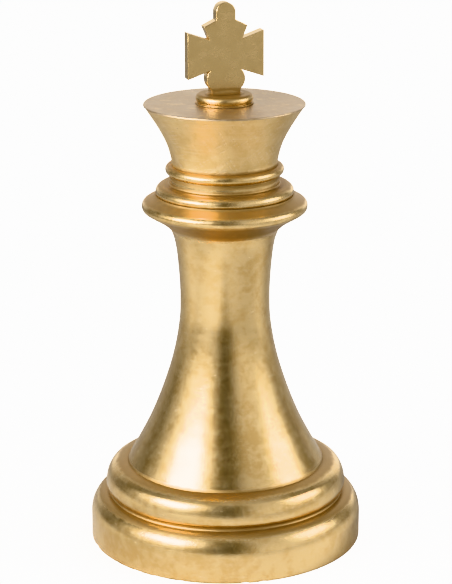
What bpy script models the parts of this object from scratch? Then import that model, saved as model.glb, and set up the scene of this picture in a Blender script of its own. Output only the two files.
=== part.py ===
"""Giant chess king: turned wooden sections, gilded, stacked on a steel tie rod.

The sections are located on each other by round tenons and clamped between two
nuts. The finial (cross and button) is carried by a threaded stud, which screws
into a bush in the crown's lid. Units are metres and +Z is up. The origin is on
the floor, in the middle of the felt under the base.
"""
import math

import bmesh
import bpy
from mathutils import Matrix, Vector

MM = 0.001

# Overall design
TOTAL_HEIGHT = 735 * MM
GAP = 0.3 * MM                    # clearance left between touching pieces
TURNED_SEGMENTS = 36              # facets around every large turned piece
SMALL_SEGMENTS = 16               # facets around rods, nuts and bushes
SCREW_SEGMENTS = 12
SMOOTH_ANGLE = math.radians(32)

# Felt, cover board and iron weight under the base
FELT_RADIUS = 172 * MM
FELT_THICKNESS = 3 * MM
RIM_CLEARANCE = 0.8 * MM          # the gilded rim stops this far above the floor
COVER_RADIUS = 150 * MM
COVER_THICKNESS = 8 * MM
WEIGHT_RADIUS = 95 * MM
WEIGHT_BORE = 30 * MM
WEIGHT_THICKNESS = 24.7 * MM

# Cover screws
SCREW_COUNT = 6
SCREW_CIRCLE = 124 * MM
SCREW_SHANK_RADIUS = 2.0 * MM
SCREW_HEAD_RADIUS = 4.5 * MM
SCREW_HEAD_DEPTH = 2.7 * MM
SCREW_LENGTH = 27 * MM

# Base sections
PLINTH_RADIUS = 185 * MM
PLINTH_SIDE_TOP = 34 * MM
PLINTH_SHOULDER_IN = 23.5 * MM    # how far the quarter-round shoulder runs in
PLINTH_TOP = 63.8 * MM
WEB_UNDERSIDE = 44.3 * MM         # the web that the lower nut pulls on
NUT_POCKET_RADIUS = 24 * MM
RING_RADIUS = 163.9 * MM
RING_SPIGOT_RADIUS = 80 * MM
SPIGOT_DEPTH = 8 * MM
RING_TOP = 107.3 * MM

# Stem
STEM_FOOT_RADIUS = 134.2 * MM
STEM_FOOT_TENON = 60 * MM
STEM_FOOT_TENON_DEPTH = 12 * MM
STEM_BOTTOM = RING_TOP + GAP
STEM_TOP = 430.1 * MM
STEM_TENON_RADIUS = 40 * MM
STEM_TENON_TOP = 505.1 * MM
STEM_WAIST_RADIUS = 60.2 * MM
STEM_WAIST_HEIGHT = 337 * MM
STEM_HEAD_RADIUS = 71.1 * MM

# Collar, bead, neck and crown ring
COLLAR_RADIUS = 110.4 * MM
COLLAR_EDGE_ROUND = 8 * MM
COLLAR_EDGE_HEIGHT = 464.6 * MM
COLLAR_TOP = 480.6 * MM
BEAD_RADIUS = 91.8 * MM
BEAD_TOP = 498.0 * MM
NECK_RADIUS = 72.7 * MM
NECK_TOP = STEM_TENON_TOP
CROWN_RING_RADIUS = 78.8 * MM
CROWN_RING_TOP = 520.9 * MM

# Crown
CROWN_TENON_RADIUS = 50 * MM
CROWN_FOOT_RADIUS = 70.6 * MM
CROWN_FLOOR_TOP = 538 * MM
CROWN_POCKET_RADIUS = 31.8 * MM
CROWN_RIM_RADIUS = 106.8 * MM
LID_UNDERSIDE = 599.5 * MM
LID_TOP = 601.9 * MM
LID_BOSS_BOTTOM = 560 * MM

# Steel tie rod and its nuts and washers
ROD_RADIUS = 6 * MM
ROD_BORE = 7 * MM
ROD_BOTTOM = 26 * MM
ROD_TOP = 556 * MM
NUT_ACROSS_FLATS = 19 * MM
NUT_THICKNESS = 10 * MM
WASHER_RADIUS = 18 * MM
WASHER_THICKNESS = 2.3 * MM

# Finial
STUD_RADIUS = 5 * MM
STUD_BOTTOM = 588 * MM
STUD_TOP = 640 * MM
STUD_CLEARANCE = 0.4 * MM
BUSH_RADIUS = 9 * MM
BUSH_BOTTOM = 587.5 * MM
SEAT_RADIUS = 38.4 * MM
SEAT_THICKNESS = 1.1 * MM
BUTTON_RADIUS = 37.9 * MM
BUTTON_HEIGHT = 11 * MM
CROSS_THICKNESS = 18 * MM
CROSS_EDGE_ROUND = 1.4 * MM
CROSS_HALF_SPAN = 51.4 * MM
KNOB_RADIUS = 13 * MM
CROSS_WAIST = 19.3 * MM
CROSS_PAD_HALF_WIDTH = 26 * MM
CROSS_PAD_HALF_DEPTH = 14 * MM
CROSS_PAD_THICKNESS = 2 * MM

GOLD = (0.73, 0.49, 0.19)
COLOURS = {                       # colour, roughness, metallic
    "gold_leaf": (GOLD, 0.33, 1.0),
    "gilt_metal": ((0.70, 0.47, 0.18), 0.28, 1.0),
    "steel": ((0.55, 0.56, 0.58), 0.35, 1.0),
    "brass": ((0.80, 0.58, 0.26), 0.30, 1.0),
    "iron": ((0.09, 0.09, 0.10), 0.70, 0.6),
    "plywood": ((0.62, 0.44, 0.26), 0.65, 0.0),
    "felt": ((0.06, 0.05, 0.04), 0.95, 0.0),
}


def clear_scene():
    for old in list(bpy.data.objects):
        bpy.data.objects.remove(old, do_unlink=True)


def material(name, finish):
    colour, roughness, metallic = COLOURS[finish]
    made = bpy.data.materials.new(name)
    made.use_nodes = True
    shader = made.node_tree.nodes["Principled BSDF"]
    shader.inputs["Base Color"].default_value = (*colour, 1.0)
    shader.inputs["Roughness"].default_value = roughness
    shader.inputs["Metallic"].default_value = metallic
    made.diffuse_color = (*colour, 1.0)
    return made


def place(name, mesh, finish, parent=None, location=(0, 0, 0)):
    """Puts a mesh in the scene as a named piece, with its own material."""
    piece = bpy.data.objects.new(name, mesh)
    bpy.context.collection.objects.link(piece)
    mesh.materials.clear()
    mesh.materials.append(material(name, finish))
    mesh.shade_smooth()
    mesh.set_sharp_from_angle(angle=SMOOTH_ANGLE)
    piece.location = location
    piece.parent = parent
    return piece


def axis_empty(name, location):
    empty = bpy.data.objects.new(name, None)
    empty.empty_display_size = 0.02
    empty.location = location
    bpy.context.collection.objects.link(empty)
    return empty


# Outlines: lists of (radius, height)

def arc(centre, width, height, start, end, steps):
    """Points on an ellipse about `centre`, from `start` to `end` degrees."""
    points = []
    for step in range(steps + 1):
        angle = math.radians(start + (end - start) * step / steps)
        points.append((centre[0] + width * math.cos(angle),
                       centre[1] + height * math.sin(angle)))
    return points


def curve_through(knots, steps):
    """A smooth curve (Catmull-Rom) through the knots, `steps` points a span."""
    first = tuple(2 * a - b for a, b in zip(knots[0], knots[1]))
    last = tuple(2 * a - b for a, b in zip(knots[-1], knots[-2]))
    padded = [first, *knots, last]
    points = []
    for span in range(len(knots) - 1):
        p0, p1, p2, p3 = (Vector(p) for p in padded[span:span + 4])
        for step in range(steps):
            t = step / steps
            point = 0.5 * (2 * p1 + (p2 - p0) * t
                           + (2 * p0 - 5 * p1 + 4 * p2 - p3) * t ** 2
                           + (3 * p1 - p0 - 3 * p2 + p3) * t ** 3)
            points.append(tuple(point))
    points.append(tuple(knots[-1]))
    return points


def revolved(outline, segments):
    """Spins an outline about Z. An outline that starts and ends on the axis
    stays open and closes there; any other is a closed loop around a bore."""
    mesh = bpy.data.meshes.new("turned")
    shape = bmesh.new()
    verts = [shape.verts.new((radius, 0, height)) for radius, height in outline]
    edges = [shape.edges.new(pair) for pair in zip(verts, verts[1:])]
    if outline[0][0] > 0:
        edges.append(shape.edges.new((verts[-1], verts[0])))
    bmesh.ops.spin(shape, geom=verts + edges, cent=(0, 0, 0), axis=(0, 0, 1),
                   angle=2 * math.pi, steps=segments, use_merge=True)
    bmesh.ops.remove_doubles(shape, verts=shape.verts, dist=1e-6)
    bmesh.ops.recalc_face_normals(shape, faces=shape.faces)
    shape.to_mesh(mesh)
    shape.free()
    return mesh


def turned(name, outline, finish, segments=TURNED_SEGMENTS, parent=None,
           location=(0, 0, 0)):
    return place(name, revolved(outline, segments), finish, parent, location)


def add_boolean(piece, cutter, operation):
    modifier = piece.modifiers.new(cutter.name, 'BOOLEAN')
    modifier.operation = operation
    modifier.solver = 'EXACT'
    modifier.object = cutter


def guide(name, mesh):
    """A cutter or an added lump: used by Booleans, never part of the object."""
    shape = bpy.data.objects.new(name, mesh)
    bpy.context.collection.objects.link(shape)
    shape.hide_render = True
    shape.display_type = 'WIRE'
    return shape


def tube_outline(inner, outer, bottom, top):
    return [(inner, bottom), (outer, bottom), (outer, top), (inner, top)]


# Base

def make_foot_pad():
    outline = [(0, 0), (FELT_RADIUS, 0), (FELT_RADIUS, FELT_THICKNESS), (0, FELT_THICKNESS)]
    turned("foot_pad", outline, "felt")


def screw_places():
    for number in range(SCREW_COUNT):
        angle = 2 * math.pi * (number + 0.5) / SCREW_COUNT
        yield number + 1, SCREW_CIRCLE * math.cos(angle), SCREW_CIRCLE * math.sin(angle)


def screw_outline(grow):
    """Countersunk wood screw, head down, with its tip up. `grow` makes the
    same shape larger all round, for the hole that it goes in."""
    shank = SCREW_SHANK_RADIUS + grow
    head = SCREW_HEAD_RADIUS + grow
    if grow:
        return [(0, -2 * MM), (head, -2 * MM), (head, grow), (shank, SCREW_HEAD_DEPTH + grow),
                (shank, SCREW_LENGTH + grow), (0, SCREW_LENGTH + grow)]
    recess = 1.5 * MM
    tip = 3 * MM
    return [(0, recess), (0.8 * MM, recess), (1.9 * MM, 0), (head, 0),
            (shank, SCREW_HEAD_DEPTH), (shank, SCREW_LENGTH - tip), (0, SCREW_LENGTH)]


def make_screws(height):
    mesh = revolved(screw_outline(0), SCREW_SEGMENTS)
    for number, x, y in screw_places():
        place(f"cover_screw_{number}", mesh.copy(), "steel", location=(x, y, height))


def make_screw_cutter(height):
    """All the screw holes as one cutter."""
    shape = bmesh.new()
    hole = revolved(screw_outline(GAP), SCREW_SEGMENTS)
    for _, x, y in screw_places():
        before = set(shape.verts)
        shape.from_mesh(hole)
        added = [vert for vert in shape.verts if vert not in before]
        bmesh.ops.translate(shape, verts=added, vec=(x, y, height))
    mesh = bpy.data.meshes.new("screw_holes")
    shape.to_mesh(mesh)
    shape.free()
    return guide("screw_holes", mesh)


def make_base():
    cover_bottom = FELT_THICKNESS + GAP
    cover_top = cover_bottom + COVER_THICKNESS
    weight_bottom = cover_top + GAP
    weight_top = weight_bottom + WEIGHT_THICKNESS
    screw_height = cover_bottom + 0.2 * MM

    cover = turned("weight_cover",
                   [(0, cover_bottom), (COVER_RADIUS, cover_bottom),
                    (COVER_RADIUS, cover_top), (0, cover_top)], "plywood")
    turned("base_weight", tube_outline(WEIGHT_BORE, WEIGHT_RADIUS, weight_bottom, weight_top),
           "iron")

    shoulder_centre = (PLINTH_RADIUS - PLINTH_SHOULDER_IN, PLINTH_SIDE_TOP)
    shoulder = arc(shoulder_centre, PLINTH_SHOULDER_IN, PLINTH_TOP - PLINTH_SIDE_TOP, 0, 90, 7)
    socket_bottom = PLINTH_TOP - SPIGOT_DEPTH
    edge = 1.4 * MM
    plinth = turned("base_plinth", [
        (PLINTH_RADIUS - edge, RIM_CLEARANCE), (PLINTH_RADIUS, RIM_CLEARANCE + edge),
        *shoulder,
        (RING_SPIGOT_RADIUS + GAP, PLINTH_TOP), (RING_SPIGOT_RADIUS + GAP, socket_bottom),
        (ROD_BORE, socket_bottom), (ROD_BORE, WEB_UNDERSIDE),
        (NUT_POCKET_RADIUS, WEB_UNDERSIDE), (NUT_POCKET_RADIUS, weight_top + GAP),
        (WEIGHT_RADIUS + GAP, weight_top + GAP), (WEIGHT_RADIUS + GAP, cover_top + GAP),
        (COVER_RADIUS + GAP, cover_top + GAP), (COVER_RADIUS + GAP, cover_bottom),
        (FELT_RADIUS + GAP, cover_bottom), (FELT_RADIUS + GAP, RIM_CLEARANCE),
    ], "gold_leaf")
    make_screws(screw_height)
    holes = make_screw_cutter(screw_height)
    add_boolean(cover, holes, 'DIFFERENCE')
    add_boolean(plinth, holes, 'DIFFERENCE')


def make_base_ring():
    """The second step: a half-round that is undercut at its foot, with a
    shoulder that rounds over to the stem."""
    bottom = PLINTH_TOP + GAP
    undercut = arc((RING_RADIUS - 6.5 * MM, bottom + 7 * MM), 6.5 * MM, 7 * MM, -90, 0, 3)
    roll = arc((RING_RADIUS - 17.2 * MM, 77 * MM), 17.2 * MM, 27 * MM, 0, 58, 5)
    shoulder = [(150.3 * MM, 103.5 * MM), (143.5 * MM, 106 * MM), (138 * MM, 107.1 * MM)]
    socket = RING_TOP - STEM_FOOT_TENON_DEPTH
    turned("base_ring", [
        (ROD_BORE, bottom - SPIGOT_DEPTH + GAP), (RING_SPIGOT_RADIUS, bottom - SPIGOT_DEPTH + GAP),
        (RING_SPIGOT_RADIUS, bottom), *undercut, *roll, *shoulder,
        (STEM_FOOT_RADIUS + GAP, RING_TOP), (STEM_FOOT_TENON + GAP, RING_TOP),
        (STEM_FOOT_TENON + GAP, socket), (ROD_BORE, socket),
    ], "gold_leaf")


# Stem and the rings above it

def stem_flare():
    knots = [(STEM_FOOT_RADIUS, STEM_BOTTOM), (118.2 * MM, 136 * MM), (100.8 * MM, 170.5 * MM),
             (83.4 * MM, 215 * MM), (69.8 * MM, 260 * MM), (61.8 * MM, 304 * MM),
             (STEM_WAIST_RADIUS, STEM_WAIST_HEIGHT), (61.4 * MM, 369 * MM),
             (64.3 * MM, 401 * MM), (67.4 * MM, 419 * MM), (STEM_HEAD_RADIUS, STEM_TOP)]
    return curve_through(knots, 1)


def make_stem():
    foot = STEM_BOTTOM - STEM_FOOT_TENON_DEPTH + GAP
    turned("stem", [
        (ROD_BORE, foot), (STEM_FOOT_TENON, foot), (STEM_FOOT_TENON, STEM_BOTTOM),
        *stem_flare(),
        (STEM_TENON_RADIUS, STEM_TOP), (STEM_TENON_RADIUS, STEM_TENON_TOP),
        (ROD_BORE, STEM_TENON_TOP),
    ], "gold_leaf")


def make_collar():
    """The widest ring of the neck: a cove that leaves the stem, a rounded
    edge, and a sloping top."""
    bore = STEM_TENON_RADIUS + GAP
    bottom = STEM_TOP + GAP
    cove = curve_through([(STEM_HEAD_RADIUS, bottom), (74.4 * MM, 435.3 * MM),
                          (86 * MM, 445.2 * MM), (102 * MM, 455 * MM)], 2)
    edge_centre = (COLLAR_RADIUS - COLLAR_EDGE_ROUND, COLLAR_EDGE_HEIGHT)
    edge = arc(edge_centre, COLLAR_EDGE_ROUND, COLLAR_EDGE_ROUND, -58, 57, 6)
    turned("collar", [(bore, bottom), *cove, *edge, (93.4 * MM, COLLAR_TOP), (bore, COLLAR_TOP)],
           "gold_leaf")


def make_bead():
    bore = STEM_TENON_RADIUS + GAP
    bottom = COLLAR_TOP + GAP
    roll = arc((78.5 * MM, 484.8 * MM), BEAD_RADIUS - 78.5 * MM, 9.7 * MM, -20, 90, 6)
    turned("collar_bead", [(bore, bottom), (89.5 * MM, bottom), *roll,
                           (75 * MM, 495.4 * MM), (NECK_RADIUS + 0.6 * MM, BEAD_TOP),
                           (bore, BEAD_TOP)], "gold_leaf")


def make_neck():
    turned("neck_ring", tube_outline(STEM_TENON_RADIUS + GAP, NECK_RADIUS,
                                     BEAD_TOP + GAP, NECK_TOP), "gold_leaf")


def make_crown_ring():
    bottom = NECK_TOP + GAP
    half = (CROWN_RING_TOP - bottom) / 2
    roll = arc((CROWN_RING_RADIUS - 8 * MM, bottom + half), 8 * MM, half, -90, 90, 8)
    bore = CROWN_TENON_RADIUS + GAP
    turned("crown_ring", [(bore, bottom), *roll, (bore, CROWN_RING_TOP)], "gold_leaf")


# Crown

def make_crown():
    tenon_bottom = STEM_TENON_TOP + 2 * GAP
    foot = CROWN_RING_TOP + GAP
    flare = curve_through([(CROWN_FOOT_RADIUS, foot), (71.2 * MM, 530 * MM),
                           (76.6 * MM, 549 * MM), (86.4 * MM, 569 * MM),
                           (99 * MM, 589.3 * MM), (105.9 * MM, LID_UNDERSIDE - GAP)], 2)
    turned("crown_body", [
        (ROD_BORE, tenon_bottom), (CROWN_TENON_RADIUS, tenon_bottom), (CROWN_TENON_RADIUS, foot),
        *flare, (CROWN_POCKET_RADIUS, LID_UNDERSIDE - GAP), (CROWN_POCKET_RADIUS, CROWN_FLOOR_TOP),
        (ROD_BORE, CROWN_FLOOR_TOP),
    ], "gold_leaf")

    boss = CROWN_POCKET_RADIUS - GAP
    stud_way = STUD_RADIUS + STUD_CLEARANCE
    turned("crown_lid", [
        (stud_way, LID_BOSS_BOTTOM), (boss, LID_BOSS_BOTTOM), (boss, LID_UNDERSIDE),
        (CROWN_RIM_RADIUS - 0.8 * MM, LID_UNDERSIDE), (CROWN_RIM_RADIUS, LID_UNDERSIDE + 1.2 * MM),
        (CROWN_RIM_RADIUS - 1.2 * MM, LID_TOP), (BUSH_RADIUS + GAP, LID_TOP),
        (BUSH_RADIUS + GAP, BUSH_BOTTOM - GAP), (stud_way, BUSH_BOTTOM - GAP),
    ], "gold_leaf")
    turned("crown_bush", tube_outline(stud_way, BUSH_RADIUS, BUSH_BOTTOM, LID_TOP - GAP),
           "brass", SMALL_SEGMENTS)


# Tie rod

def make_nut(name, bottom):
    """Hexagon nut with a plain bore."""
    across_corners = NUT_ACROSS_FLATS / math.cos(math.pi / 6)
    shape = bmesh.new()
    bmesh.ops.create_cone(shape, cap_ends=True, segments=6, radius1=across_corners / 2,
                          radius2=across_corners / 2, depth=NUT_THICKNESS)
    mesh = bpy.data.meshes.new(name)
    shape.to_mesh(mesh)
    shape.free()
    nut = place(name, mesh, "steel", location=(0, 0, bottom + NUT_THICKNESS / 2))
    bore = revolved([(0, -NUT_THICKNESS), (ROD_RADIUS + GAP, -NUT_THICKNESS),
                     (ROD_RADIUS + GAP, NUT_THICKNESS), (0, NUT_THICKNESS)], SMALL_SEGMENTS)
    cutter = guide(f"{name}_bore", bore)
    cutter.location = nut.location
    add_boolean(nut, cutter, 'DIFFERENCE')


def make_washer(name, bottom):
    turned(name, tube_outline(ROD_RADIUS + GAP, WASHER_RADIUS, bottom, bottom + WASHER_THICKNESS),
           "steel", SMALL_SEGMENTS)


def make_tie_rod():
    chamfer = 1 * MM
    turned("tie_rod", [(0, ROD_BOTTOM), (ROD_RADIUS - chamfer, ROD_BOTTOM),
                       (ROD_RADIUS, ROD_BOTTOM + chamfer), (ROD_RADIUS, ROD_TOP - chamfer),
                       (ROD_RADIUS - chamfer, ROD_TOP), (0, ROD_TOP)], "steel", SMALL_SEGMENTS)
    lower_washer = WEB_UNDERSIDE - GAP - WASHER_THICKNESS
    make_washer("lower_washer", lower_washer)
    make_nut("lower_nut", lower_washer - GAP - NUT_THICKNESS)
    upper_washer = CROWN_FLOOR_TOP + GAP
    make_washer("upper_washer", upper_washer)
    make_nut("upper_nut", upper_washer + WASHER_THICKNESS + GAP)


# Finial

def cross_outline(bottom):
    """Right half of the cross, from the foot to the top, as (x, z)."""
    waist_height = bottom + 6.5 * MM
    shoulder = TOTAL_HEIGHT - 23 * MM
    foot_flare = arc((CROSS_WAIST + 5.5 * MM, waist_height), 5.5 * MM, 6.5 * MM, 270, 180, 3)
    lobe = arc((9.3 * MM, TOTAL_HEIGHT - 100.4 * MM), 16.8 * MM, 16.8 * MM, -50, 43, 8)
    knob = arc((0, TOTAL_HEIGHT - KNOB_RADIUS), KNOB_RADIUS, KNOB_RADIUS, 0, 90, 8)
    return [
        *foot_flare, *lobe,
        (CROSS_HALF_SPAN, TOTAL_HEIGHT - 99.3 * MM),    # side arm, lower corner
        (CROSS_HALF_SPAN, TOTAL_HEIGHT - 37.8 * MM),    # side arm, upper corner
        (22.2 * MM, TOTAL_HEIGHT - 48 * MM),            # notch under the top arm
        (29.3 * MM, TOTAL_HEIGHT - 31 * MM),            # top arm's corner
        (KNOB_RADIUS, shoulder), *knob,
    ]


def make_cross(bottom, parent, axis_height):
    right = cross_outline(bottom)
    left = [(-x, z) for x, z in reversed(right[:-1])]
    shape = bmesh.new()
    front = [shape.verts.new((x, -CROSS_THICKNESS / 2, z - axis_height)) for x, z in right + left]
    face = shape.faces.new(front)
    grown = bmesh.ops.extrude_face_region(shape, geom=[face])
    moved = [item for item in grown["geom"] if isinstance(item, bmesh.types.BMVert)]
    bmesh.ops.translate(shape, verts=moved, vec=(0, CROSS_THICKNESS, 0))
    bmesh.ops.recalc_face_normals(shape, faces=shape.faces)
    mesh = bpy.data.meshes.new("cross")
    shape.to_mesh(mesh)
    shape.free()
    cross = place("finial_cross", mesh, "gilt_metal", parent)

    bevel = cross.modifiers.new("rounded_edges", 'BEVEL')
    bevel.width = CROSS_EDGE_ROUND
    bevel.segments = 2
    bevel.limit_method = 'ANGLE'
    bevel.angle_limit = math.radians(40)

    pad_shape = bmesh.new()
    bmesh.ops.create_cone(pad_shape, cap_ends=True, segments=SMALL_SEGMENTS,
                          radius1=1, radius2=0.94, depth=CROSS_PAD_THICKNESS)
    bmesh.ops.scale(pad_shape, verts=pad_shape.verts,
                    vec=(CROSS_PAD_HALF_WIDTH, CROSS_PAD_HALF_DEPTH, 1))
    pad_mesh = bpy.data.meshes.new("cross_pad")
    pad_shape.to_mesh(pad_mesh)
    pad_shape.free()
    pad = guide("cross_pad", pad_mesh)
    pad.location = (0, 0, bottom + CROSS_PAD_THICKNESS / 2)
    add_boolean(cross, pad, 'UNION')

    hole_radius = STUD_RADIUS + STUD_CLEARANCE
    hole = guide("cross_stud_hole", revolved(
        [(0, bottom - 5 * MM), (hole_radius, bottom - 5 * MM),
         (hole_radius, STUD_TOP + GAP), (0, STUD_TOP + GAP)], SMALL_SEGMENTS))
    add_boolean(cross, hole, 'DIFFERENCE')


def make_finial():
    """Seat disc on the lid, then the button, cross and stud that turn and
    rise together as the stud is screwed out."""
    seat_bottom = LID_TOP + GAP
    seat_top = seat_bottom + SEAT_THICKNESS
    bore = STUD_RADIUS + STUD_CLEARANCE
    turned("finial_seat", tube_outline(bore, SEAT_RADIUS, seat_bottom, seat_top), "gilt_metal")

    button_bottom = seat_top + GAP
    button_top = button_bottom + BUTTON_HEIGHT
    axis_height = button_bottom
    finial_axis = axis_empty("finial_axis", (0, 0, axis_height))
    half = BUTTON_HEIGHT / 2
    edge = arc((BUTTON_RADIUS - 5 * MM, half), 5 * MM, half, -62, 90, 7)
    turned("finial_button", [(bore, 0), (BUTTON_RADIUS - 2.6 * MM, 0), *edge, (bore, BUTTON_HEIGHT)],
           "gilt_metal", parent=finial_axis)

    chamfer = 0.8 * MM
    low = STUD_BOTTOM - axis_height
    high = STUD_TOP - axis_height
    turned("finial_stud", [(0, low), (STUD_RADIUS - chamfer, low), (STUD_RADIUS, low + chamfer),
                           (STUD_RADIUS, high), (0, high)],
           "steel", SMALL_SEGMENTS, finial_axis)
    make_cross(button_top + GAP, finial_axis, axis_height)


def main():
    clear_scene()
    make_foot_pad()
    make_base()
    make_base_ring()
    make_stem()
    make_collar()
    make_bead()
    make_neck()
    make_crown_ring()
    make_crown()
    make_tie_rod()
    make_finial()
    bpy.context.view_layer.update()


main()
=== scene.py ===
"""Looks of the giant chess king: fine turned meshes under worn gold leaf."""

import math

import bmesh
import bpy
from mathutils import Matrix, Vector, noise


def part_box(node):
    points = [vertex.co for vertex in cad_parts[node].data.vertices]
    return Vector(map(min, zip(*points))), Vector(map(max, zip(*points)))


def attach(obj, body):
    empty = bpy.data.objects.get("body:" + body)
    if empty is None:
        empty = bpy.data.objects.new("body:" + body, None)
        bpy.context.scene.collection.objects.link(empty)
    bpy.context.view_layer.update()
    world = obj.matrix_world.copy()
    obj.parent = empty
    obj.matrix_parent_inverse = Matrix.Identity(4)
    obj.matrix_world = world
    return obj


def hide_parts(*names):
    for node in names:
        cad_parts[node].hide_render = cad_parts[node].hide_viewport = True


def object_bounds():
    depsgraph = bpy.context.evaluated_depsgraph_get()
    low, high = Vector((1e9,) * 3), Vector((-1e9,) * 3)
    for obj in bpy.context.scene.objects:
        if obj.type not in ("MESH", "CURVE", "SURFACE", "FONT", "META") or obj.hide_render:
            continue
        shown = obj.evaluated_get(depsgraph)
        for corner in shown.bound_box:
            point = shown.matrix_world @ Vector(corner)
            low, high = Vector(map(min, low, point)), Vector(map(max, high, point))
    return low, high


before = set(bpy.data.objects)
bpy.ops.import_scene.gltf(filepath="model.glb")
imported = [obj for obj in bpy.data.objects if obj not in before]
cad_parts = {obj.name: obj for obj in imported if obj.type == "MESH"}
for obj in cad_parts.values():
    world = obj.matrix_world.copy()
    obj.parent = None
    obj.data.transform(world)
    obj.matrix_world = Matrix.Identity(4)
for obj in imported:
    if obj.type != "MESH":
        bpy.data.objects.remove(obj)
CAD_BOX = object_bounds()

MM = 0.001
HEIGHT = CAD_BOX[1][2]

# Mesh fineness
SEGMENTS = 288
SMALL_SEGMENTS = 192
THREAD_SEGMENTS = 36
FINE_STEP = 2 * MM

# Holes through the fine meshes, as radii
COLLAR_BORE = 60 * MM                   # from the collar up to the crown
STUD_HOLE = 5.4 * MM                    # in the seat and the button

# The studio's front is a little to the left of the cross's front. Directions
# in the studio are in degrees from it, to the right as seen from the front.
STUDIO_FRONT = math.radians(-16)

# Camera, as the photograph was taken: at the studio's front
CAMERA_AZIMUTH = STUDIO_FRONT
CAMERA_DISTANCE = 2697.5 * MM           # level distance from the king's axis
CAMERA_HEIGHT = 1148.1 * MM
CAMERA_PITCH = math.radians(16.611)
CAMERA_YAW = math.radians(-0.03)
CAMERA_ROLL = math.radians(-0.145)
CAMERA_LENS = 129.1                     # in mm, like the sensor's width
SENSOR_WIDTH = 36

# Studio walls: direction and brightness. They are dark at the front and at
# about 115 degrees to either side, and brightest at the back.
WALLS = [
    (-180, 1.20), (-165, 1.50), (-150, 0.84), (-138, 0.50), (-129, 0.28), (-114, 0.17),
    (-100, 0.48), (-88, 0.68), (-70, 0.70), (-28, 0.55), (-17, 0.43), (-9, 0.09), (-2, 0.06),
    (8, 0.11), (18, 0.48), (28, 0.92), (42, 1.08), (92, 0.88), (103, 0.58), (118, 0.28),
    (134, 0.38), (146, 1.40), (160, 1.85), (180, 1.20),
]
CEILING = 0.52
CEILING_FROM = math.radians(55)         # height at which the walls turn into it
CEILING_TO = math.radians(67)
WHITE = 4.0                             # what shows behind the king

# Soft boxes: direction and height in degrees, then distance, width and height
# in metres, and brightness
LEFT_BOX = (-53.5, 27.5, 1.7, 0.92, 0.54, 52.0)
FLOOR_FILL = (-53, 27.5, 2.6, 1.5, 1.2, 12.0)
RIGHT_BOX = (84, 23, 2.6, 1.25, 1.1, 7.0)
LAMP_AIM = 0.3                          # height that the boxes point at

# Floor: half its width, the tone of its paper, and the two painted shades on it: the
# direction, the cosine of the angle from it where the painted shade starts, and the
# tone in the middle of the shade
FLOOR_HALF = 9.0
PAPER = 0.62
PAPER_GLOW = WHITE - 0.6                # with the light that falls on it, about WHITE
FLOOR_PAINTED_SHADES = [(-114, -0.3, 0.57), (115, 0.62, 0.78)]

# Where sections meet: bands of painted shade in the creases, where the leaf is also made rougher.
# From and to in mm of height, and softness
SECTION_JOINTS = [(-9, 2, 2), (59, 70, 1.5), (104, 110, 1.5), (436, 458, 5), (471, 482, 1.5),
                  (491, 498, 1.5), (502, 508, 1.5), (518, 524, 1.5)]
SEAT_JOINT = (600, 604, 1.5)
CROSS_JOINT = (612, 623, 1.5)


def top_of(node):
    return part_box(node)[1][2]


def bottom_of(node):
    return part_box(node)[0][2]


def radius_of(node):
    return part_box(node)[1][0]


# Outlines: lists of (radius, height)

def in_mm(*points):
    """Points given in mm, turned into metres."""
    return [(radius * MM, height * MM) for radius, height in points]


def arc(centre, width, height, start, end, steps):
    """Points on an ellipse about `centre`, from `start` to `end` degrees."""
    points = []
    for step in range(steps + 1):
        angle = math.radians(start + (end - start) * step / steps)
        points.append((centre[0] + width * math.cos(angle),
                       centre[1] + height * math.sin(angle)))
    return points


def curve_through(knots, steps):
    """A smooth curve (Catmull-Rom) through the knots, `steps` points a span."""
    first = tuple(2 * a - b for a, b in zip(knots[0], knots[1]))
    last = tuple(2 * a - b for a, b in zip(knots[-1], knots[-2]))
    padded = [first, *knots, last]
    points = []
    for span in range(len(knots) - 1):
        p0, p1, p2, p3 = (Vector(p) for p in padded[span:span + 4])
        for step in range(steps):
            t = step / steps
            point = 0.5 * (2 * p1 + (p2 - p0) * t
                           + (2 * p0 - 5 * p1 + 4 * p2 - p3) * t ** 2
                           + (3 * p1 - p0 - 3 * p2 + p3) * t ** 3)
            points.append(tuple(point))
    points.append(tuple(knots[-1]))
    return points


def refined(outline):
    """The same outline with points no further apart than FINE_STEP."""
    points = [outline[0]]
    for start, end in zip(outline, outline[1:]):
        steps = max(1, math.ceil(math.dist(start, end) / FINE_STEP))
        for step in range(1, steps + 1):
            t = step / steps
            points.append((start[0] + (end[0] - start[0]) * t,
                           start[1] + (end[1] - start[1]) * t))
    return points


def revolved(name, outline, segments=SEGMENTS, shape=None):
    """A closed outline turned about Z. `shape` moves each point of the
    surface: it takes (radius, angle, height) and gives (radius, height)."""
    count = len(outline)
    verts = []
    for turn in range(segments):
        angle = 2 * math.pi * turn / segments
        for radius, height in outline:
            if shape:
                radius, height = shape(radius, angle, height)
            verts.append((radius * math.cos(angle), radius * math.sin(angle), height))
    faces = []
    for turn in range(segments):
        here = turn * count
        there = (turn + 1) % segments * count
        for point in range(count):
            after = (point + 1) % count
            faces.append((here + point, there + point, there + after, here + after))
    mesh = bpy.data.meshes.new(name)
    mesh.from_pydata(verts, [], faces)
    clean = bmesh.new()
    clean.from_mesh(mesh)
    bmesh.ops.remove_doubles(clean, verts=clean.verts, dist=1e-7)
    bmesh.ops.dissolve_degenerate(clean, edges=clean.edges, dist=1e-7)
    bmesh.ops.recalc_face_normals(clean, faces=clean.faces)
    clean.to_mesh(mesh)
    clean.free()
    mesh.shade_smooth()
    mesh.set_sharp_from_angle(angle=math.radians(38))
    return mesh


def add_piece(name, mesh, material, body, nodes):
    piece = bpy.data.objects.new(name, mesh)
    bpy.context.collection.objects.link(piece)
    mesh.materials.clear()
    mesh.materials.append(material)
    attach(piece, body)
    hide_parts(*nodes)


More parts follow.
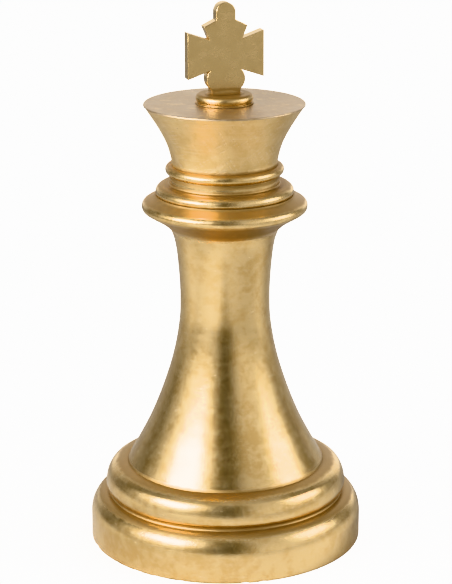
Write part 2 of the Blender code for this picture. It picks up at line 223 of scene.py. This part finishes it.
def wobble(amount, size, seed):
    """Hand-finished unevenness: a slow in-and-out of the surface."""
    def shape(radius, angle, height):
        place = Vector((radius * math.cos(angle), radius * math.sin(angle), height))
        slow = noise.noise(place / size + Vector((seed, 0, 0)))
        fast = noise.noise(place / (size * 0.33) + Vector((0, seed, 0)))
        grow = amount * (slow + 0.35 * fast)
        return max(radius + grow, 0.0) if radius > 0 else 0.0, height
    return shape


# Materials

class Nodes:
    """Small helper that adds and joins shader nodes."""

    def __init__(self, tree):
        self.tree = tree
        self.tree.nodes.clear()

    def add(self, kind, **settings):
        node = self.tree.nodes.new(kind)
        for key, value in settings.items():
            setattr(node, key, value)
        return node

    def link(self, source, target):
        self.tree.links.new(source, target)

    def math(self, operation, first, second=None, third=None):
        node = self.add("ShaderNodeMath", operation=operation)
        for slot, value in enumerate((first, second, third)):
            if value is None:
                continue
            if isinstance(value, (int, float)):
                node.inputs[slot].default_value = value
            else:
                self.link(value, node.inputs[slot])
        return node.outputs[0]

    def weighted_sum(self, *terms):
        """The sum of (value, weight) pairs."""
        total = None
        for value, weight in terms:
            part = self.math("MULTIPLY", value, weight)
            total = part if total is None else self.math("ADD", total, part)
        return total

    def noise(self, vector, scale, detail=3.0, roughness=0.5):
        node = self.add("ShaderNodeTexNoise")
        node.inputs["Scale"].default_value = scale
        node.inputs["Detail"].default_value = detail
        node.inputs["Roughness"].default_value = roughness
        self.link(vector, node.inputs["Vector"])
        return node.outputs["Fac"]

    def stretched(self, vector, scale, lean=0):
        """The vector scaled; `lean` first turns it about the front-to-back
        axis, in degrees, so that stretched marks run aslant."""
        if lean:
            turned = self.add("ShaderNodeMapping")
            turned.inputs["Rotation"].default_value = (0, math.radians(lean), 0)
            self.link(vector, turned.inputs["Vector"])
            vector = turned.outputs["Vector"]
        node = self.add("ShaderNodeMapping")
        node.inputs["Scale"].default_value = scale
        self.link(vector, node.inputs["Vector"])
        return node.outputs["Vector"]

    def ramp(self, value, low, high, to_low=0.0, to_high=1.0):
        node = self.add("ShaderNodeMapRange", interpolation_type="SMOOTHSTEP")
        self.link(value, node.inputs["Value"])
        node.inputs["From Min"].default_value = low
        node.inputs["From Max"].default_value = high
        node.inputs["To Min"].default_value = to_low
        node.inputs["To Max"].default_value = to_high
        return node.outputs["Result"]

    def band(self, value, rise_from, rise_to, fall_from, fall_to):
        """Rises from 0 to 1 and falls back to 0 as the value grows."""
        return self.math("MULTIPLY", self.ramp(value, rise_from, rise_to),
                         self.ramp(value, fall_from, fall_to, 1, 0))

    def mix(self, factor, first, second):
        node = self.add("ShaderNodeMix", data_type="RGBA")
        self.link(factor, node.inputs["Factor"])
        for value, slot in ((first, 6), (second, 7)):
            if isinstance(value, tuple):
                node.inputs[slot].default_value = (*value, 1.0)
            else:
                self.link(value, node.inputs[slot])
        return node.outputs[2]


# Tones of the leaf
LEAF = (0.745, 0.538, 0.26)
LEAF_DEEP = (0.63, 0.42, 0.17)
LEAF_PALE = (0.79, 0.60, 0.335)
# Darker, browner tones, used on the lid
LEAF_MATT = (0.475, 0.36, 0.235)
LEAF_MATT_DARKER = (0.44, 0.315, 0.185)
LEAF_WORN = (0.30, 0.19, 0.10)
# Dark brown for the painted shade in creases and along edges
LEAF_PAINTED_SHADE = (0.29, 0.18, 0.07)


def new_material(name):
    """An empty material, its nodes, and the place on the piece in metres."""
    made = bpy.data.materials.new(name)
    made.use_nodes = True
    nodes = Nodes(made.node_tree)
    return made, nodes, nodes.add("ShaderNodeTexCoord").outputs["Object"]


def finish_material(nodes, colour, rough, metallic, height, strength, depth):
    """Joins colour, roughness and bumps `depth` metres high to the surface."""
    bump = nodes.add("ShaderNodeBump")
    bump.inputs["Strength"].default_value = strength
    bump.inputs["Distance"].default_value = depth
    nodes.link(height, bump.inputs["Height"])
    shader = nodes.add("ShaderNodeBsdfPrincipled")
    shader.inputs["Metallic"].default_value = metallic
    nodes.link(colour, shader.inputs["Base Color"])
    nodes.link(rough, shader.inputs["Roughness"])
    nodes.link(bump.outputs["Normal"], shader.inputs["Normal"])
    nodes.link(shader.outputs["BSDF"], nodes.add("ShaderNodeOutputMaterial").inputs["Surface"])


def pin_holes(nodes, where):
    """Small spots, in a few places only, where the leaf is through."""
    cells = nodes.add("ShaderNodeTexVoronoi")
    cells.inputs["Scale"].default_value = 95
    nodes.link(where, cells.inputs["Vector"])
    spot = nodes.ramp(cells.outputs["Distance"], 0.04, 0.11, 1, 0)
    few = nodes.ramp(nodes.noise(where, 23, 2), 0.56, 0.66)
    return nodes.math("MULTIPLY", spot, few)


def painted_shade_mask(nodes, where, patches, crevices, edge):
    """Painted shade: 1 in the creases and along a plate's edges, where the leaf is painted darker,
    0 elsewhere; None without such a place.
    """
    split = nodes.add("ShaderNodeSeparateXYZ")
    nodes.link(where, split.inputs[0])
    ragged = nodes.math("ADD", split.outputs[2],
                        nodes.math("MULTIPLY", nodes.math("SUBTRACT", patches, 0.5), 4 * MM))
    bands = [nodes.band(ragged, (low - soft) * MM, (low + soft) * MM,
                        (high - soft) * MM, (high + soft) * MM)
             for low, high, soft in crevices]
    if edge:
        depth = nodes.math("ABSOLUTE", split.outputs[1])
        bands.append(nodes.band(depth, (edge[0] - 0.2) * MM, (edge[0] + 0.2) * MM,
                                (edge[1] - 0.15) * MM, (edge[1] + 0.1) * MM))
    painted_shade = None
    for band in bands:
        painted_shade = band if painted_shade is None else nodes.math("MAXIMUM", painted_shade, band)
    return painted_shade


def gold_leaf(name, roughness, rub=0.5, mottle=1.0, worn=0.5, upright=0.0, hatch=0.0,
              relief=0.5, wiped=1.0, tones=(LEAF, LEAF_DEEP), crevices=(), edge=None):
    """Satin gold leaf: cloudy tone, rub marks left by turning and wiping,
    pin holes, and a surface that is never quite flat.

    `rub` is the share of the rub marks that run round the piece, `relief` is
    the height of the bumps in mm, and `mottle`, `worn`, `upright`, `hatch` and
    `wiped` are the strengths of the clouds, the pin holes, the upright brush
    marks, the crossed scratches and the wiping. `crevices` are the bands
    (from, to, softness, in mm of height) of painted shade: the leaf is painted
    darker there, as shade in the creases, and is rougher; `edge` is such a band
    (from, to) out from the middle of a flat plate, front and back alike, a
    painted dark line along its rounded edges."""
    made, nodes, where = new_material(name)
    clouds = nodes.noise(where, 16, 5, 0.6)
    patches = nodes.noise(where, 75, 4, 0.65)
    grain = nodes.noise(where, 520, 3, 0.6)
    rings = nodes.noise(nodes.stretched(where, (14, 14, 420)), 1, 4, 0.65)
    wipes = nodes.noise(nodes.stretched(where, (70, 70, 160)), 1, 4, 0.7)
    strokes = nodes.noise(nodes.stretched(where, (300, 300, 24)), 1, 3, 0.65)
    streaks = nodes.weighted_sum((rings, rub), (wipes, 1 - rub))
    one_way = nodes.noise(nodes.stretched(where, (22, 22, 360), 35), 1, 2)
    other_way = nodes.noise(nodes.stretched(where, (22, 22, 360), -55), 1, 2)
    scratched = nodes.ramp(nodes.math("MULTIPLY", one_way, other_way), 0.29, 0.40)

    tone = nodes.weighted_sum((clouds, 0.5), (patches, 0.5))
    colour = nodes.mix(nodes.ramp(tone, 0.40, 0.58, 0.9 * mottle, 0.0), *tones)
    colour = nodes.mix(nodes.ramp(streaks, 0.50, 0.72, 0, 0.6 * wiped), colour, LEAF_PALE)
    colour = nodes.mix(nodes.ramp(streaks, 0.30, 0.46, 0.45 * wiped, 0), colour, LEAF_DEEP)
    colour = nodes.mix(nodes.math("MULTIPLY", scratched, 0.35 * hatch), colour, LEAF_PALE)
    colour = nodes.mix(nodes.math("MULTIPLY", pin_holes(nodes, where), worn), colour, LEAF_WORN)
    rough = nodes.math("ADD", nodes.weighted_sum((patches, 0.10), (streaks, 0.12)),
                       roughness - 0.10)
    # Painted shade: the leaf is painted darker and made rougher in the creases and along a plate's
    # edges
    painted_shade = painted_shade_mask(nodes, where, patches, crevices, edge)
    if painted_shade is not None:
        colour = nodes.mix(nodes.math("MULTIPLY", painted_shade, 0.85), colour, LEAF_PAINTED_SHADE)
        rough = nodes.math("ADD", rough, nodes.math("MULTIPLY", painted_shade, 0.22))

    height = nodes.weighted_sum((grain, 0.14), (rings, 0.3 * rub), (patches, 0.34),
                                (strokes, 0.2 * upright), (scratched, -0.10 * hatch))
    finish_material(nodes, colour, rough, 1.0, height, 1.0, relief * MM)
    return made


def plain_stuff(name, colour, second, roughness, metallic, scale, stretch=(1, 1, 1), depth=0.2):
    """Hidden stuff (steel, iron, wood, felt): two tones of grain, and a bump
    of `depth` mm."""
    made, nodes, where = new_material(name)
    grain = nodes.noise(nodes.stretched(where, stretch), scale, 6, 0.6)
    shade = nodes.mix(nodes.ramp(grain, 0.3, 0.7), colour, second)
    rough = nodes.math("ADD", roughness - 0.08, nodes.math("MULTIPLY", grain, 0.16))
    finish_material(nodes, shade, rough, metallic, grain, 0.5, depth * MM)
    return made


# Turned sections. The fine meshes are shells or rings that stand where the
# CAD's sections do; what is inside the king keeps the CAD's mesh.

def make_plinth(leaf):
    top = top_of("base_plinth")
    radius = radius_of("base_plinth")
    shoulder_in = 23.5 * MM
    side_top = 34 * MM
    inner_radius = radius_of("foot_pad") + 0.5 * MM
    low = bottom_of("base_plinth") - 0.5 * MM       # nearly down to the felt's face
    corner = 0.9 * MM
    bore = 90 * MM
    wall = 6 * MM
    outer = [(inner_radius, low), (radius - corner, low),
             *arc((radius - corner, low + corner), corner, corner, -75, 0, 4),
             *arc((radius - shoulder_in, side_top), shoulder_in, top - side_top, 0, 90, 24),
             (bore, top)]
    inner = [(bore, top - wall), (inner_radius, low + wall)]
    slow = wobble(0.35 * MM, 70 * MM, 3.1)

    def chipped(radius_here, angle, height):
        """The lower edge is knocked and worn back in places."""
        grown, height = slow(radius_here, angle, height)
        near_edge = max(0.0, 1 - (height - low) / (5 * MM))
        if near_edge > 0 and radius_here > radius - 6 * MM:
            place = Vector((math.cos(angle) * 9, math.sin(angle) * 9, 0.7))
            chip = max(0.0, noise.noise(place) + 0.4 * noise.noise(place * 3.7) - 0.34)
            grown -= 2.2 * MM * chip * near_edge
            height += 2.6 * MM * chip * near_edge
        return grown, height

    mesh = revolved("gilt_plinth", refined(outer) + inner, shape=chipped)
    add_piece("gilt_plinth", mesh, leaf, "root", ["base_plinth"])


def make_base_ring(leaf):
    radius = radius_of("base_ring")
    top = top_of("base_ring")
    bottom = top_of("base_plinth") + 0.05 * MM
    widest = 77 * MM
    bore = 100 * MM
    cove = curve_through([(160.4 * MM, bottom),
                          *in_mm((159.5, 65.2), (159.4, 67), (160.4, 69.2), (162.6, 71.6)),
                          (radius, widest)], 4)
    roll = arc((radius - 17.2 * MM, widest), 17.2 * MM, 27 * MM, 0, 58, 16)
    shoulder = curve_through([roll[-1], *in_mm((150.3, 103.5), (143.5, 106), (138, 107.2)),
                              (134.6 * MM, top)], 4)
    outer = [(bore, bottom), *cove[:-1], *roll, *shoulder[1:], (132 * MM, top), (bore, top)]
    mesh = revolved("gilt_base_ring", refined(outer), shape=wobble(0.3 * MM, 60 * MM, 8.4))
    add_piece("gilt_base_ring", mesh, leaf, "root", ["base_ring"])


def make_stem(leaf):
    bottom = top_of("base_ring") + 0.1 * MM
    top = bottom_of("collar")
    bore = 40 * MM
    knots = [(134.2 * MM, bottom),
             *in_mm((118.2, 136), (100.8, 170.5), (83.4, 215), (69.8, 260), (61.8, 304),
                    (60.2, 337), (61.4, 369), (64.3, 401), (67.4, 419)),
             (71.1 * MM, top)]
    outer = [(bore, bottom), *curve_through(knots, 8), (bore, top)]
    mesh = revolved("gilt_stem", refined(outer), shape=wobble(0.18 * MM, 75 * MM, 5.7))
    add_piece("gilt_stem", mesh, leaf, "root", ["stem"])


def make_collar(leaf):
    bottom = bottom_of("collar")
    top = top_of("collar")
    round_by = 8 * MM
    cove = curve_through([(71.1 * MM, bottom), *in_mm((74.4, 435.3), (86, 445.2), (102, 455))], 8)
    edge = arc((radius_of("collar") - round_by, 464.6 * MM), round_by, round_by, -58, 57, 16)
    slope = curve_through([edge[-1], *in_mm((100.2, 475), (94.6, 478.2)), (92.4 * MM, top)], 4)
    outer = [(COLLAR_BORE, bottom), *cove, *edge, *slope[1:], (COLLAR_BORE, top)]
    mesh = revolved("gilt_collar", refined(outer), shape=wobble(0.25 * MM, 45 * MM, 1.9))
    add_piece("gilt_collar", mesh, leaf, "root", ["collar"])


def bead_crease():
    """Height of the crease where the bead meets the neck."""
    return top_of("collar_bead") - 3.7 * MM


def make_bead(leaf):
    low = bottom_of("collar_bead") - 0.1 * MM
    crease = bead_crease()
    roll = arc((78.5 * MM, 484.8 * MM), 13.3 * MM, 9.7 * MM, -22, 82, 18)
    outer = [(COLLAR_BORE, low), (90 * MM, low), *roll, (75.4 * MM, crease),
             (COLLAR_BORE, crease)]
    mesh = revolved("gilt_bead", refined(outer), shape=wobble(0.2 * MM, 40 * MM, 6.6))
    add_piece("gilt_bead", mesh, leaf, "root", ["collar_bead"])


def make_neck(leaf):
    low = bead_crease() + 0.05 * MM
    high = top_of("neck_ring") + 0.1 * MM
    radius = radius_of("neck_ring")
    fillet = arc((radius + 3 * MM, low + 2.4 * MM), 3 * MM, 2.4 * MM, 248, 180, 6)
    outer = [(COLLAR_BORE, low), *fillet, (radius, high), (COLLAR_BORE, high)]
    mesh = revolved("gilt_neck", refined(outer), shape=wobble(0.2 * MM, 40 * MM, 2.8))
    add_piece("gilt_neck", mesh, leaf, "root", ["neck_ring"])


def make_crown_ring(leaf):
    """The roll under the crown, with a little more of the neck below it."""
    low = bottom_of("crown_ring")
    high = top_of("crown_ring")
    under = 1.5 * MM
    half = (high - low - under) / 2
    round_by = 8 * MM
    middle = (radius_of("crown_ring") - round_by, high - half)
    neck = radius_of("neck_ring")
    outer = [(COLLAR_BORE, low), (neck, low), (neck, low + under),
             *arc(middle, round_by, half, -72, 88, 24), (COLLAR_BORE, high)]
    mesh = revolved("gilt_crown_ring", refined(outer), shape=wobble(0.2 * MM, 40 * MM, 9.3))
    add_piece("gilt_crown_ring", mesh, leaf, "root", ["crown_ring"])


def lid_seam():
    """Height of the seam between the crown and the disc that closes it."""
    return top_of("crown_lid") - 2.4 * MM


def make_crown(leaf):
    foot = top_of("crown_ring") + 0.2 * MM
    seam = lid_seam()
    knots = [(70.6 * MM, foot), *in_mm((71.2, 530), (76.6, 549), (86.4, 569), (99, 589.3)),
             (105.9 * MM, seam)]
    outer = [(COLLAR_BORE, foot), *curve_through(knots, 8), (90 * MM, seam),
             (COLLAR_BORE, seam - 20 * MM)]
    mesh = revolved("gilt_crown", refined(outer), shape=wobble(0.35 * MM, 55 * MM, 4.4))
    add_piece("gilt_crown", mesh, leaf, "root", ["crown_body"])


def make_lid(leaf):
    radius = radius_of("crown_lid")
    top = top_of("crown_lid")
    low = lid_seam() + 0.1 * MM
    bore = 9.6 * MM         # clears the bush
    round_by = 1.6 * MM
    edge = arc((radius - round_by, top - round_by), round_by, round_by, -20, 90, 8)
    outer = [(bore, low), (radius - 0.7 * MM, low), *edge, (bore, top)]
    flat = wobble(0.18 * MM, 55 * MM, 7.2)

    def uneven(radius_here, angle, height):
        """A top that was sanded by hand is not quite flat."""
        grown, height = flat(radius_here, angle, height)
        place = Vector((radius_here * math.cos(angle), radius_here * math.sin(angle), 0))
        if height > top - 0.2 * MM:
            height += 0.12 * MM * noise.noise(place / (38 * MM)) - 0.1 * MM
        return grown, height

    mesh = revolved("gilt_lid", refined(outer), shape=uneven)
    add_piece("gilt_lid", mesh, leaf, "root", ["crown_lid"])


# Finial

def make_seat(gilt):
    radius = radius_of("finial_seat")
    low = bottom_of("finial_seat")
    high = top_of("finial_seat")
    half = (high - low) / 2
    outer = [(STUD_HOLE, low), *arc((radius - half, low + half), half, half, -90, 90, 6),
             (STUD_HOLE, high)]
    mesh = revolved("gilt_seat", outer, SMALL_SEGMENTS)
    add_piece("gilt_seat", mesh, gilt, "root", ["finial_seat"])


def make_button(gilt):
    radius = radius_of("finial_button")
    low = bottom_of("finial_button")
    high = top_of("finial_button")
    half = (high - low) / 2
    edge = arc((radius - 5 * MM, low + half), 5 * MM, half, -64, 90, 18)
    outer = [(STUD_HOLE, low), (radius - 2.8 * MM, low), *edge, (STUD_HOLE, high)]
    mesh = revolved("gilt_button", refined(outer), SMALL_SEGMENTS, wobble(0.15 * MM, 25 * MM, 0.6))
    add_piece("gilt_button", mesh, gilt, "finial", ["finial_button"])


def cross_half(bottom):
    """Right half of the cross, from its waist to the top, as (x, z)."""
    steps = 10
    waist = 19.5 * MM
    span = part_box("finial_cross")[1][0]
    knob_radius = 13 * MM
    lobe = arc((9.3 * MM, HEIGHT - 100.4 * MM), 16.8 * MM, 16.8 * MM, -50, 43, steps)
    knob = arc((0, HEIGHT - knob_radius), knob_radius, knob_radius, 0, 90, steps)
    return [
        (waist, bottom + 0.6 * MM), (waist, bottom + 5 * MM), *lobe,
        (span, HEIGHT - 99.3 * MM), (span, HEIGHT - 37.8 * MM),     # side arm
        (22.2 * MM, HEIGHT - 48 * MM),                              # notch under the top arm
        (29.3 * MM, HEIGHT - 31 * MM),                              # top arm's corner
        (knob_radius, HEIGHT - 23 * MM), *knob,
    ]


def plate(name, outline, thickness):
    """A flat plate with this outline in x and z, half in front of y = 0."""
    shape = bmesh.new()
    front = [shape.verts.new((x, -thickness / 2, z)) for x, z in outline]
    face = shape.faces.new(front)
    grown = bmesh.ops.extrude_face_region(shape, geom=[face])
    moved = [item for item in grown["geom"] if isinstance(item, bmesh.types.BMVert)]
    bmesh.ops.translate(shape, verts=moved, vec=(0, thickness, 0))
    bmesh.ops.recalc_face_normals(shape, faces=shape.faces)
    mesh = bpy.data.meshes.new(name)
    shape.to_mesh(mesh)
    shape.free()
    return mesh


def make_cross(gilt):
    """The plate with rounded edges, joined to its foot, as one mesh."""
    bottom = bottom_of("finial_cross")
    right = cross_half(bottom)
    left = [(-x, z) for x, z in reversed(right[:-1])]
    cross = bpy.data.objects.new("gilt_cross", plate("gilt_cross", right + left, 18 * MM))
    bpy.context.collection.objects.link(cross)
    bevel = cross.modifiers.new("rounded_edges", 'BEVEL')
    bevel.width = 1.5 * MM
    bevel.segments = 4
    bevel.limit_method = 'ANGLE'
    bevel.angle_limit = math.radians(35)

    foot = bpy.data.objects.new("cross_foot", cross_foot(bottom))
    bpy.context.collection.objects.link(foot)
    union = cross.modifiers.new("foot", 'BOOLEAN')
    union.operation = 'UNION'
    union.solver = 'EXACT'
    union.object = foot
    bpy.context.view_layer.update()
    evaluated = cross.evaluated_get(bpy.context.evaluated_depsgraph_get())
    final = bpy.data.meshes.new_from_object(evaluated)
    bpy.data.objects.remove(foot)
    bpy.data.objects.remove(cross)

    final.name = "gilt_cross"
    final.shade_smooth()
    final.set_sharp_from_angle(angle=math.radians(40))
    for face in final.polygons:
        flat = abs(face.normal.y) > 0.999 or face.area > 100 * MM * MM
        face.use_smooth = not flat
    add_piece("gilt_cross", final, gilt, "finial", ["finial_cross"])


def cross_foot(bottom):
    """Cove that spreads from the cross's waist out onto the button."""
    rows = 8
    around = 96
    flare = 7.5 * MM
    power = 3.2
    shape = bmesh.new()
    rings = []
    for row in range(rows + 1):
        angle = math.pi / 2 * row / rows
        out = flare * (1 - math.sin(angle))
        height = bottom + 0.05 * MM + 8 * MM * (1 - math.cos(angle))
        ring = []
        for step in range(around):
            turn = 2 * math.pi * step / around
            c, s = math.cos(turn), math.sin(turn)
            x = (18.2 * MM + out) * math.copysign(abs(c) ** (2 / power), c)
            y = (8.4 * MM + out) * math.copysign(abs(s) ** (2 / power), s)
            ring.append(shape.verts.new((x, y, height)))
        rings.append(ring)
    for low, high in zip(rings, rings[1:]):
        for step in range(around):
            after = (step + 1) % around
            shape.faces.new((low[step], low[after], high[after], high[step]))
    shape.faces.new(list(reversed(rings[0])))
    shape.faces.new(rings[-1])
    bmesh.ops.recalc_face_normals(shape, faces=shape.faces)
    mesh = bpy.data.meshes.new("cross_foot")
    shape.to_mesh(mesh)
    shape.free()
    return mesh


def make_stud(steel):
    """The threaded stud that shows when the finial is unscrewed."""
    low = bottom_of("finial_stud")
    high = top_of("finial_stud")
    crest = radius_of("finial_stud")
    depth = 0.85 * MM
    pitch = 1.5 * MM
    lead_in = 1.2 * MM          # length over which the ends taper
    taper = 1.1 * MM
    rows = round((high - low) / (pitch / 6))

    def threaded(radius, angle, height):
        if radius == 0:
            return 0.0, height
        along = (height / pitch - angle / (2 * math.pi)) % 1.0
        radius = crest - depth * (1 - abs(2 * along - 1))
        from_end = min(height - low, high - height)
        return radius - taper * max(0.0, 1 - from_end / lead_in), height

    side = [(crest, low + (high - low) * row / rows) for row in range(rows + 1)]
    outline = [(0.0, low), *side, (0.0, high)]
    mesh = revolved("threaded_stud", outline, THREAD_SEGMENTS, threaded)
    add_piece("threaded_stud", mesh, steel, "stud", ["finial_stud"])


# Studio

def make_world():
    """A plain studio: walls whose brightness goes by direction, a little
    dimmer higher up, and a ceiling. It shows white behind the king."""
    world = bpy.data.worlds.new("studio")
    bpy.context.scene.world = world
    world.use_nodes = True
    nodes = Nodes(world.node_tree)
    split = nodes.add("ShaderNodeSeparateXYZ")
    nodes.link(nodes.add("ShaderNodeTexCoord").outputs["Generated"], split.inputs[0])
    x, y, z = split.outputs
    turn = nodes.math("ARCTAN2", x, nodes.math("MULTIPLY", y, -1))
    turn = nodes.math("SUBTRACT", turn, STUDIO_FRONT)
    turn = nodes.math("WRAP", turn, math.pi, -math.pi)
    around = nodes.math("ADD", nodes.math("DIVIDE", turn, 2 * math.pi), 0.5)
    rise = nodes.math("ARCSINE", z)

    walls = nodes.add("ShaderNodeValToRGB")
    nodes.link(around, walls.inputs["Fac"])
    stops = walls.color_ramp.elements
    for place, (direction, light) in enumerate(WALLS):
        position = (direction + 180) / 360
        stop = stops[place] if place < 2 else stops.new(position)
        stop.position = position
        stop.color = (light, light * 0.99, light * 0.975, 1)
    dimmed = nodes.mix(nodes.ramp(rise, 0, math.radians(46), 0.0, 0.28),
                       walls.outputs["Color"], (0.0, 0.0, 0.0))
    high = nodes.ramp(rise, CEILING_FROM, CEILING_TO)
    light = nodes.mix(high, dimmed, (CEILING, CEILING, CEILING))
    seen = nodes.add("ShaderNodeLightPath").outputs["Is Camera Ray"]
    light = nodes.mix(seen, light, (WHITE, WHITE, WHITE))
    studio = nodes.add("ShaderNodeBackground")
    nodes.link(light, studio.inputs["Color"])
    nodes.link(studio.outputs[0], nodes.add("ShaderNodeOutputWorld").inputs["Surface"])


def soft_box(name, direction, elevation, distance, width, height, radiance):
    """A wide soft light, placed by its direction from the king's middle."""
    data = bpy.data.lights.new(name, 'AREA')
    data.shape = 'RECTANGLE'
    data.size = width
    data.size_y = height
    data.energy = radiance * math.pi * width * height
    data.color = (1.0, 1.0, 1.0)
    light = bpy.data.objects.new(name, data)
    bpy.context.collection.objects.link(light)
    turn = math.radians(direction) + STUDIO_FRONT
    rise = math.radians(elevation)
    toward = Vector((math.sin(turn) * math.cos(rise), -math.cos(turn) * math.cos(rise),
                     math.sin(rise)))
    light.location = Vector((0, 0, LAMP_AIM)) + toward * distance
    light.rotation_euler = toward.to_track_quat('Z', 'Y').to_euler()
    light.visible_camera = False
    return light


def make_soft_boxes():
    soft_box("left_box", *LEFT_BOX)
    fill = soft_box("floor_fill", *FLOOR_FILL)
    fill.visible_glossy = False     # it lights the floor and isn't mirrored in the leaf
    soft_box("right_box", *RIGHT_BOX)


def floor_painted_light(nodes, where):
    """How pale the floor is, with painted light and shade in its tone, which the leaf mirrors:
    painted shade in a lane in front of the king, behind it and in the two shades, and
    painted light to the front right and far away."""
    split = nodes.add("ShaderNodeSeparateXYZ")
    nodes.link(where, split.inputs[0])
    east, north, _ = split.outputs
    ahead = nodes.weighted_sum((east, math.sin(STUDIO_FRONT)), (north, -math.cos(STUDIO_FRONT)))
    side = nodes.weighted_sum((east, math.cos(STUDIO_FRONT)), (north, math.sin(STUDIO_FRONT)))
    length = nodes.add("ShaderNodeVectorMath", operation="LENGTH")
    nodes.link(where, length.inputs[0])
    away = length.outputs["Value"]

    # Painted shade and light on the paper: a dark lane and darker paper in front of the king and
    # behind it, lighter to the front right and far off, then the painted shades
    lane = nodes.weighted_sum((ahead, 1.0), (nodes.math("ABSOLUTE", side), -2.2))
    front_right = nodes.weighted_sum((side, 0.64), (ahead, 0.77))
    parts = [
        nodes.ramp(lane, 0.35, 1.5, 1.0, 0.3),
        nodes.ramp(away, 0.5, 3.2, 0.85, 1.45),
        nodes.ramp(ahead, -0.1, 0.45, 1.0, 0.58),
        nodes.ramp(ahead, -0.5, -0.05, 0.86, 1.0),
        nodes.ramp(front_right, -0.1, 0.4, 1.0, 1.22),
    ]
    for direction, start, darkest in FLOOR_PAINTED_SHADES:
        turn = math.radians(direction)
        reach = nodes.weighted_sum((ahead, math.cos(turn)), (side, math.sin(turn)))
        towards = nodes.math("DIVIDE", reach, nodes.math("MAXIMUM", away, 0.01))
        parts.append(nodes.ramp(towards, start, 0.95, 1.0, darkest))
    tone = PAPER
    for part in parts:
        tone = nodes.math("MULTIPLY", part, tone)
    return tone


def make_floor():
    """A pale floor that shows white, like the studio behind it."""
    half = FLOOR_HALF
    mesh = bpy.data.meshes.new("floor")
    mesh.from_pydata([(-half, -half, 0), (half, -half, 0), (half, half, 0), (-half, half, 0)],
                     [], [(0, 1, 2, 3)])
    floor = bpy.data.objects.new("floor", mesh)
    bpy.context.collection.objects.link(floor)
    made, nodes, where = new_material("pale_floor")
    paper = nodes.add("ShaderNodeBsdfDiffuse")
    nodes.link(floor_painted_light(nodes, where), paper.inputs["Color"])
    glow = nodes.add("ShaderNodeEmission")
    seen = nodes.add("ShaderNodeLightPath").outputs["Is Camera Ray"]
    nodes.link(nodes.math("MULTIPLY", seen, PAPER_GLOW), glow.inputs["Strength"])
    both = nodes.add("ShaderNodeAddShader")
    nodes.link(paper.outputs[0], both.inputs[0])
    nodes.link(glow.outputs[0], both.inputs[1])
    nodes.link(both.outputs[0], nodes.add("ShaderNodeOutputMaterial").inputs["Surface"])
    mesh.materials.append(made)


def make_camera():
    data = bpy.data.cameras.new("camera")
    data.sensor_width = SENSOR_WIDTH
    data.lens = CAMERA_LENS
    data.clip_start = 0.05
    data.clip_end = 60
    camera = bpy.data.objects.new("camera", data)
    bpy.context.collection.objects.link(camera)
    camera.location = (math.sin(CAMERA_AZIMUTH) * CAMERA_DISTANCE,
                       -math.cos(CAMERA_AZIMUTH) * CAMERA_DISTANCE, CAMERA_HEIGHT)
    aim = (Matrix.Rotation(CAMERA_AZIMUTH + CAMERA_YAW, 4, 'Z')
           @ Matrix.Rotation(math.pi / 2 - CAMERA_PITCH, 4, 'X')
           @ Matrix.Rotation(CAMERA_ROLL, 4, 'Z'))
    camera.rotation_euler = aim.to_euler()
    bpy.context.scene.camera = camera


def dress_hidden_nodes(steel):
    """Procedural materials on the nodes that keep the CAD's own mesh."""
    felt = plain_stuff("felt", (0.030, 0.026, 0.022), (0.075, 0.066, 0.056), 0.92, 0.0, 900,
                       depth=0.5)
    board = plain_stuff("plywood", (0.42, 0.27, 0.14), (0.62, 0.44, 0.26), 0.6, 0.0, 60,
                        (1, 12, 12))
    iron = plain_stuff("iron", (0.05, 0.05, 0.055), (0.10, 0.095, 0.09), 0.7, 0.8, 300, depth=0.4)
    brass = plain_stuff("brass", (0.66, 0.45, 0.18), (0.80, 0.58, 0.26), 0.3, 1.0, 400)
    stuffs = {"foot_pad": felt, "weight_cover": board, "base_weight": iron, "crown_bush": brass}
    for name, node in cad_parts.items():
        for slot in node.material_slots:
            slot.material = stuffs.get(name, steel)


def make_king():
    # Each leaf given SECTION_JOINTS is painted darker in the creases between sections: painted
    # shade
    base_leaf = gold_leaf("base_leaf", 0.235, rub=0.3, relief=0.6, hatch=0.4,
                          crevices=SECTION_JOINTS)
    make_plinth(base_leaf)
    make_base_ring(base_leaf)
    make_stem(gold_leaf("stem_leaf", 0.235, rub=0.3, upright=1.6, relief=0.24,
                        crevices=SECTION_JOINTS))
    collar_leaf = gold_leaf("collar_leaf", 0.255, rub=0.5, relief=0.4, crevices=SECTION_JOINTS)
    make_collar(collar_leaf)
    make_bead(collar_leaf)
    make_neck(collar_leaf)
    make_crown_ring(collar_leaf)
    make_crown(gold_leaf("crown_leaf", 0.36, rub=0.7, mottle=0.8, relief=0.9, hatch=1.6,
                         crevices=SECTION_JOINTS))
    make_lid(gold_leaf("lid_leaf", 0.39, rub=0.2, mottle=1.2, relief=0.8, worn=0.8,
                       tones=(LEAF_MATT, LEAF_MATT_DARKER)))
    # Painted shade at the seat's joint and in the cove of the cross's foot
    gilt = gold_leaf("finial_gilt", 0.26, rub=0.1, mottle=0.25, worn=0.1, relief=0.12, wiped=0.4,
                     crevices=[SEAT_JOINT, CROSS_JOINT])
    make_seat(gilt)
    make_button(gilt)
    # Painted shade in the cove of the cross's foot, and a painted dark line along its rounded
    # edges
    make_cross(gold_leaf("cross_gilt", 0.25, rub=0.1, mottle=0.2, worn=0.0, relief=0.05,
                         wiped=0.15, crevices=[CROSS_JOINT], edge=(7.8, 8.75)))
    steel = plain_stuff("zinc_steel", (0.46, 0.47, 0.49), (0.62, 0.63, 0.64), 0.35, 1.0, 500)
    make_stud(steel)
    dress_hidden_nodes(steel)


def main():
    make_camera()
    make_world()
    make_soft_boxes()
    make_floor()
    bpy.context.scene.view_settings.view_transform = 'Khronos PBR Neutral'
    make_king()


main()
